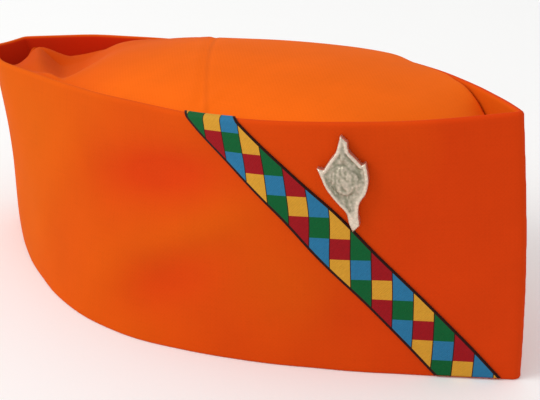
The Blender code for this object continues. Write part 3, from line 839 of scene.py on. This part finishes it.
def ribbon_point(run, across):
    """The ribbon's inner face: run goes up the band from 0 to 1, then on by degrees round the
    top fold."""
    top = 90 * MM  # a first guess; each round comes closer
    for _ in range(8):
        top = band_height(ribbon_place(top, across)) - FOLD
    if run <= 1.0:
        up = RIBBON_FOOT + (top - RIBBON_FOOT) * run
        return band_point(ribbon_place(up, across), up, RIBBON_LIFT)
    angle = math.radians(run - 1.0)
    radius = FOLD + RIBBON_LIFT
    along = ribbon_place(top + FOLD * angle, across)
    level = band_height(along) - FOLD
    point = band_point(along, level, radius * math.cos(angle) - FOLD)
    point.z = level + radius * math.sin(angle)
    return point


def ribbon_chart(tree, place, settings):
    """The diamonds' colours. Columns of diamonds stand at 45 degrees to the ribbon; they take
    turns yellow on red, blue on green, red on yellow and green on blue."""
    parts = add_node(tree, "SeparateXYZ", {"Vector": place})
    found = {"across": parts["X"], "along": parts["Y"]}
    steps = (
        # what it finds, how, and from which numbers or earlier finds
        ("start", "ADD", "along", RIBBON_PHASE),
        ("rising_run", "ADD", "start", "across"),
        ("falling_run", "SUBTRACT", "start", "across"),
        ("rising", "DIVIDE", "rising_run", settings.pitch),
        ("falling", "DIVIDE", "falling_run", settings.pitch),
        ("column", "FLOOR", "rising"),
        ("row", "FLOOR", "falling"),
        ("step", "SUBTRACT", "column", "row"),
        ("step_size", "ABSOLUTE", "step"),
        ("middle", "LESS_THAN", "step_size", 0.5),
        ("turn", "FLOORED_MODULO", "column", 4.0),
        ("share", "FRACT", "rising"),
        ("aside", "SUBTRACT", "share", 0.5),
        ("side", "ABSOLUTE", "aside"),
        ("outline", "GREATER_THAN", "side", 0.5 - RIBBON_LINE),
        ("from_middle", "ABSOLUTE", "across"),
    )
    for name, operation, *values in steps:
        inputs = [found.get(value, value) for value in values]
        found[name] = add_node(tree, "Math", inputs, operation=operation)[0]
    fills = (
        # middle diamond, side diamonds
        (settings.yellow, settings.red),
        (settings.blue, settings.green),
        (settings.red, settings.yellow),
        (settings.green, settings.blue),
    )
    tone = settings.dark
    for k, (inner, outer) in enumerate(fills):
        pair = {0: found["middle"], MIX_A: outer, MIX_B: inner}
        fill = add_node(tree, "Mix", pair, data_type="RGBA")[MIXED]
        here = add_node(tree, "Math", (found["turn"], float(k), 0.5), operation="COMPARE")[0]
        pair = {0: here, MIX_A: tone, MIX_B: fill}
        tone = add_node(tree, "Mix", pair, data_type="RGBA")[MIXED]
    return tone, found["outline"], found["from_middle"], found["along"]


def woven_ribbon():
    """Jacquard ribbon of rayon and cotton: a slight lustre, ribs across it and dark selvedges.

    The real ribs are about 0.3 mm apart and are drawn at 0.6 mm so that they show.
    """
    settings = bpy.context.scene.cap_ribbon
    material, tree, shader = new_material(
        "Woven jacquard ribbon", Roughness=0.62, IOR=1.5, Sheen_Weight=0.03, Sheen_Roughness=0.4,
        Specular_IOR_Level=0.14,
    )
    place = add_node(tree, "UVMap", uv_map="Cloth")["UV"]
    tone, outline, from_middle, along = ribbon_chart(tree, place, settings)
    selvedge = settings.width / 2 - settings.edge
    edge = add_node(tree, "Math", (from_middle, selvedge), operation="GREATER_THAN")[0]
    for dark in (outline, edge):
        pair = {0: dark, MIX_A: tone, MIX_B: settings.dark}
        tone = add_node(tree, "Mix", pair, data_type="RGBA")[MIXED]
    turns = add_node(tree, "Math", (along, 2 * math.pi / RIB_PITCH), operation="MULTIPLY")[0]
    ribs = add_node(tree, "Math", (turns,), operation="SINE")[0]
    threads = streaks(tree, place, WEFT)
    tone = shaded(tree, tone, threads, 0.78, 1.18)
    rise = add_node(tree, "Math", (ribs, 0.5, threads), operation="MULTIPLY_ADD")[0]
    finish_surface(tree, shader, tone, rise, 0.6, 0.06 * MM)
    return material


def make_ribbon():
    """The ribbon: a thin strip that lies on the band and turns over its top fold."""
    runs = [k / RIBBON_ROWS for k in range(RIBBON_ROWS + 1)]
    turns = range(1, RIBBON_FOLD_ROWS + 1)
    runs += [1.0 + RIBBON_OVER_FOLD * k / RIBBON_FOLD_ROWS for k in turns]
    shares = np.linspace(-1, 1, RIBBON_COLUMNS)
    places = np.array([[ribbon_point(run, across) for across in shares] for run in runs])
    middle = run_lengths(places, 0)[:, RIBBON_COLUMNS // 2]
    half = bpy.context.scene.cap_ribbon.width / 2
    # The rows are level, so on the slanting ribbon each runs on towards one edge.
    along = middle[:, None] + shares * half * math.tan(math.radians(RIBBON_LEAN))
    measures = np.dstack([np.broadcast_to(shares * half, along.shape), along])
    return turned_to((0, -1, 0), lay_grid("diamond_ribbon", places, measures, woven_ribbon()))


def brooch_frame():
    """Where the brooch sits: its back just off the band, its front straight out from it."""
    def spot(back, rise):
        along, up = BROOCH_ALONG + back * BROOCH_REACH, BROOCH_UP + rise * BROOCH_REACH
        return band_point(along, up, 0.0)

    front = (spot(-1, 0) - spot(1, 0)).normalized()
    out = front.cross(spot(0, 1) - spot(0, -1)).normalized()
    turn = Matrix((front, out.cross(front), out)).transposed()
    return Matrix.LocRotScale(spot(0, 0) + out * BROOCH_LIFT, turn, None)


def bud_border():
    """The bud's closed outline with its rounded stretches drawn as curves, in mm."""
    rows = np.array([row[:2] for row in BUD_OUTLINE])
    pointed = [row[2] for row in BUD_OUTLINE]
    count = len(rows)
    tangents = (np.roll(rows, -1, axis=0) - np.roll(rows, 1, axis=0)) / 2
    border = []
    for i in range(count):
        j = (i + 1) % count
        step = rows[j] - rows[i]
        start = step if pointed[i] else tangents[i]
        end = step if pointed[j] else tangents[j]
        for t in (0.0, 0.25, 0.5, 0.75):
            ease = ease_in(t)
            bend = t * (1 - t) * (start * (1 - t) - end * t)
            border.append(rows[i] * (1 - ease) + rows[j] * ease + bend)
    return np.array(border + border[:1])


def distance_to(points, line):
    """How far each point lies from a line of points, in mm."""
    nearest = np.full(len(points), np.inf)
    for start, end in zip(line, line[1:]):
        step, away = end - start, points - start
        t = np.clip((away @ step) / max(step @ step, 1e-12), 0, 1)
        nearest = np.minimum(nearest, np.linalg.norm(away - t[:, None] * step, axis=1))
    return nearest


def lumps(points, size, layer):
    """Unevenness of a casting, from -1 to 1, in lumps of a size in mm."""
    return np.array([noise.noise(Vector((x / size, y / size, layer))) for x, y in points])


def bud_relief(points):
    """Height of the bud's face from the top of its rim, and how dark it has tarnished there: its
    rounded rim, its sunken field, the domes on the field and the lines engraved in them."""
    inside = distance_to(points, bud_border())
    aside = np.column_stack([lumps(points, STRAY_SIZE, 0.5), lumps(points, STRAY_SIZE, 9.5)])
    strayed = points + STRAY * aside
    pebbled = lumps(points, PEBBLE_SIZE, 4.5)
    edge = RIM_ROUND * (1 - np.sqrt(1 - (1 - np.clip(inside / RIM_ROUND, 0, 1)) ** 2))
    sunk = ease_in((inside - RIM_WIDTH) / FIELD_REACH)
    sunk *= ease_in((points[:, 1] - STEM_TOP) / STEM_REACH)
    height = -edge - FIELD_SINK * sunk
    raised = np.zeros(len(points))
    for toward_front, up, half_width, half_length, lean, rise in BUD_DOMES:
        turn = math.radians(lean)
        x, y = points[:, 0] - toward_front, points[:, 1] - up
        wide = (x * math.cos(turn) - y * math.sin(turn)) / half_width
        long = (y * math.cos(turn) + x * math.sin(turn)) / half_length
        full = np.sqrt(np.clip(1 - (wide ** 2 + long ** 2) ** DOME_FULLNESS, 0, 1))
        raised = np.maximum(raised, (rise + DOME_ROOT) * full - DOME_ROOT)
    cut = np.zeros(len(points))
    t = np.linspace(0, 1, 25)[:, None]
    for *ends, depth in BUD_LINES:
        start, middle, end = np.array(ends)
        line = (1 - t) ** 2 * start + 2 * t * (1 - t) * middle + t ** 2 * end
        away = distance_to(strayed, line) / LINE_REACH
        cut = np.maximum(cut, depth * np.exp(-away ** 2))
    worn_and_lit = WEAR[0] + WEAR[1] * lumps(points, WEAR_SIZE, 2.5)
    cut = cut * ease_in((inside - LINE_EDGE[0]) / LINE_EDGE[1]) * worn_and_lit
    dark = sunk * (FIELD_DARK - DOME_RUB * raised - PEBBLE_RUB * pebbled) + cut / DARK_CUT
    return height + (raised + PEBBLE * pebbled) * sunk - cut, np.clip(dark, 0, 1)


def cast_silver():
    """Cast white metal, rubbed on its raised parts: pale and softly bright, tarnished grey in the
    engraving, with the fine pebbled ground that the casting left between the petals."""
    settings = bpy.context.scene.cap_brooch
    material, tree, shader = new_material("Cast silver", Metallic=0.85, Roughness=0.42)
    place = add_node(tree, "TexCoord")["Object"]
    cut = add_node(tree, "Attribute", attribute_name="engraving")["Fac"]
    spots = {"Vector": place, "Scale": 1 / (0.9 * MM)}
    pebbles = add_node(tree, "TexVoronoi", spots)["Distance"]
    cloud = {"Vector": place, "Scale": 1 / (1.2 * MM), "Detail": 4.0}
    grain = add_node(tree, "TexNoise", cloud)["Fac"]
    pair = {0: cut, MIX_A: settings.silver, MIX_B: settings.tarnish}
    tone = add_node(tree, "Mix", pair, data_type="RGBA")[MIXED]
    tone = shaded(tree, tone, pebbles, 1.06, 0.72)
    rise = add_node(tree, "Math", (grain, 0.6, pebbles), operation="MULTIPLY_ADD")[0]
    finish_surface(tree, shader, tone, rise, 0.5, 0.15 * MM)
    return material


def make_brooch():
    """The bud: its outline cut into a fine net, raised to its relief and closed at the back."""
    settings = bpy.context.scene.cap_brooch
    border = bud_border()[:-1]
    bm = bmesh.new()
    engraving = bm.verts.layers.float.new("engraving")
    bm.faces.new([bm.verts.new((x, y, 0.0)) for x, y in border])
    low, high = border.min(axis=0), border.max(axis=0)
    for axis, normal in enumerate((Vector((1, 0, 0)), Vector((0, 1, 0)))):
        for level in np.arange(low[axis] + NET / 2, high[axis], NET):
            geometry = bm.verts[:] + bm.edges[:] + bm.faces[:]
            bmesh.ops.bisect_plane(
                bm, geom=geometry, dist=1e-5, plane_co=normal * level, plane_no=normal
            )
    bmesh.ops.triangulate(bm, faces=[f for f in bm.faces if len(f.verts) > 4])
    front = bm.verts[:]
    back = bmesh.ops.extrude_face_region(bm, geom=bm.faces[:], use_keep_orig=True)
    behind = [v for v in back["geom"] if isinstance(v, bmesh.types.BMVert)]
    points = np.array([(v.co.x, v.co.y) for v in front])
    height, dark = bud_relief(points)
    for vert, rise, tarnish in zip(front, height, dark):
        vert.co.z = settings.thickness / MM + rise
        vert[engraving] = tarnish
    for vert in behind:
        seat = abs(vert.co.x) < SEAT_HALF_WIDTH and SEAT_UP[0] < vert.co.y < SEAT_UP[1]
        vert.co.z = SEAT_DEPTH if seat else 0.0
    bmesh.ops.scale(bm, vec=(MM, MM, MM), verts=bm.verts)
    bmesh.ops.recalc_face_normals(bm, faces=bm.faces)
    bmesh.ops.transform(bm, matrix=brooch_frame(), verts=bm.verts)
    return finished("cast_bud", bm, cast_silver())


def grained(name, tone, grain_size, dark, light, **values):
    """A material of one colour with an even grain."""
    material, tree, shader = new_material(name, **values)
    place = add_node(tree, "TexCoord")["Object"]
    grain = streaks(tree, place, (grain_size, grain_size))
    tree.links.new(shaded(tree, tone, grain, dark, light), shader.inputs["Base Color"])
    return material


def brushed_steel():
    """Drawn steel wire, flattened: grey, with a fine grain."""
    grey = linear("B4B4B2")
    return grained("Drawn steel", grey, 0.25 * MM, 0.8, 1.1, Metallic=1.0, Roughness=0.38)


class PAHADI_OT_side_band(bpy.types.Operator):
    """Build the standing band of doubled cotton"""

    bl_idname = "pahadi.side_band"
    bl_label = "Side band"

    def execute(self, context):
        band = make_band()
        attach(band, "root")
        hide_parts("side_band")
        return {"FINISHED"}


class PAHADI_OT_crown(bpy.types.Operator):
    """Build the puffed crown between the two sides"""

    bl_idname = "pahadi.crown"
    bl_label = "Crown"

    def execute(self, context):
        crown = make_crown()
        add_thickness(crown, 1.0 * MM, -1.0)
        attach(crown, "root")
        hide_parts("crown")
        return {"FINISHED"}


class PAHADI_OT_ribbon(bpy.types.Operator):
    """Lay the woven ribbon on the band"""

    bl_idname = "pahadi.ribbon"
    bl_label = "Ribbon"

    def execute(self, context):
        settings = context.scene.cap_ribbon
        ribbon = make_ribbon()
        add_thickness(ribbon, settings.thickness, 1.0)
        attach(ribbon, "root")
        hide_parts("ribbon_trim")
        return {"FINISHED"}


class PAHADI_OT_brooch(bpy.types.Operator):
    """Set the cast bud on the band and finish its bar"""

    bl_idname = "pahadi.brooch"
    bl_label = "Brooch"

    def execute(self, context):
        bud = make_brooch()
        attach(bud, "root")
        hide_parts("flower_brooch")
        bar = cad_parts["brooch_bar"]
        for slot in bar.material_slots:
            slot.material = brushed_steel()
        return {"FINISHED"}


class PAHADI_OT_stage(bpy.types.Operator):
    """Set the pale floor, the soft lights and the camera"""

    bl_idname = "pahadi.stage"
    bl_label = "Stage"

    def execute(self, context):
        settings = context.scene.cap_stage
        make_floor(settings)
        make_lights(settings)
        make_camera()
        return {"FINISHED"}


def make_floor(settings):
    """A plain pale floor that runs out past the view."""
    bm = bmesh.new()
    bmesh.ops.create_grid(bm, x_segments=1, y_segments=1, size=FLOOR_HALF)
    # Smooth matt paper, off-white.
    paper = grained("Pale paper", settings.floor_colour[:], 1.1 * MM, 0.99, 1.01, Roughness=0.9)
    floor = finished("pale_floor", bm, paper)


def make_lights(settings):
    """A large soft light from above the ribbon's side and the back end, and an even sky."""
    lamp = bpy.data.lights.new("Key light", "AREA")
    lamp.energy = settings.key_power
    lamp.size = KEY_SIZE
    lit = add_object("Key light", lamp)
    away = Vector(KEY_WAY).normalized()
    lit.location = away * KEY_DISTANCE
    lit.rotation_euler = away.to_track_quat("Z", "Y").to_euler()
    world = bpy.data.worlds.new("Even sky")
    world.use_nodes = True
    background = world.node_tree.nodes["Background"]
    background.inputs["Color"].default_value = (1, 1, 1, 1)
    background.inputs["Strength"].default_value = settings.sky
    scene = bpy.context.scene
    scene.world = world
    scene.view_settings.view_transform = "Standard"


def make_camera():
    """The camera, which looks down on the crown from between the ribbon's side and the front."""
    turn = Euler((math.radians(90 - VIEW_ELEVATION), 0, math.radians(VIEW_AZIMUTH)))
    back = turn.to_matrix() @ Vector((0, 0, VIEW_DISTANCE))
    camera = bpy.data.cameras.new("View")
    camera.sensor_width = SENSOR_WIDTH
    camera.lens = VIEW_LENS * SENSOR_WIDTH
    camera.clip_start = 0.01
    placed = add_object("View", camera)
    placed.matrix_world = Matrix.LocRotScale(Vector(VIEW_TARGET) * MM + back, turn, None)
    bpy.context.scene.camera = placed


class PAHADI_PT_cap(bpy.types.Panel):
    """The cap's pieces and settings"""

    bl_idname = "PAHADI_PT_cap"
    bl_label = "Pahadi cap"
    bl_space_type = "VIEW_3D"
    bl_region_type = "UI"
    bl_category = "Cap"

    def draw(self, context):
        for name, _, operators in GROUPS:
            settings = getattr(context.scene, name)
            box = self.layout.box()
            for setting in settings.bl_rna.properties.keys():
                if setting not in ("rna_type", "name"):
                    box.prop(settings, setting)
            for operator in operators:
                box.operator(operator)


GROUPS = (
    # name, settings, the operators that use them
    ("cap_cloth", ClothSettings, ("pahadi.side_band", "pahadi.crown")),
    ("cap_ribbon", RibbonSettings, ("pahadi.ribbon",)),
    ("cap_brooch", BroochSettings, ("pahadi.brooch",)),
    ("cap_stage", StageSettings, ("pahadi.stage",)),
)
CLASSES = (
    *(group for _, group, _ in GROUPS),
    PAHADI_OT_side_band, PAHADI_OT_crown, PAHADI_OT_ribbon, PAHADI_OT_brooch, PAHADI_OT_stage,
    PAHADI_PT_cap,
)
add_classes, remove_classes = bpy.utils.register_classes_factory(CLASSES)


def register():
    """Add the settings, the operators and the panel."""
    add_classes()
    for name, group, _ in GROUPS:
        setattr(bpy.types.Scene, name, PointerProperty(type=group))


def unregister():
    """Take them away again."""
    for name, _, _ in GROUPS:
        delattr(bpy.types.Scene, name)
    remove_classes()


def main():
    """Build the pieces in order."""
    register()
    bpy.ops.pahadi.side_band()
    bpy.ops.pahadi.crown()
    bpy.ops.pahadi.ribbon()
    bpy.ops.pahadi.brooch()
    bpy.ops.pahadi.stage()


if __name__ == "__main__":
    main()
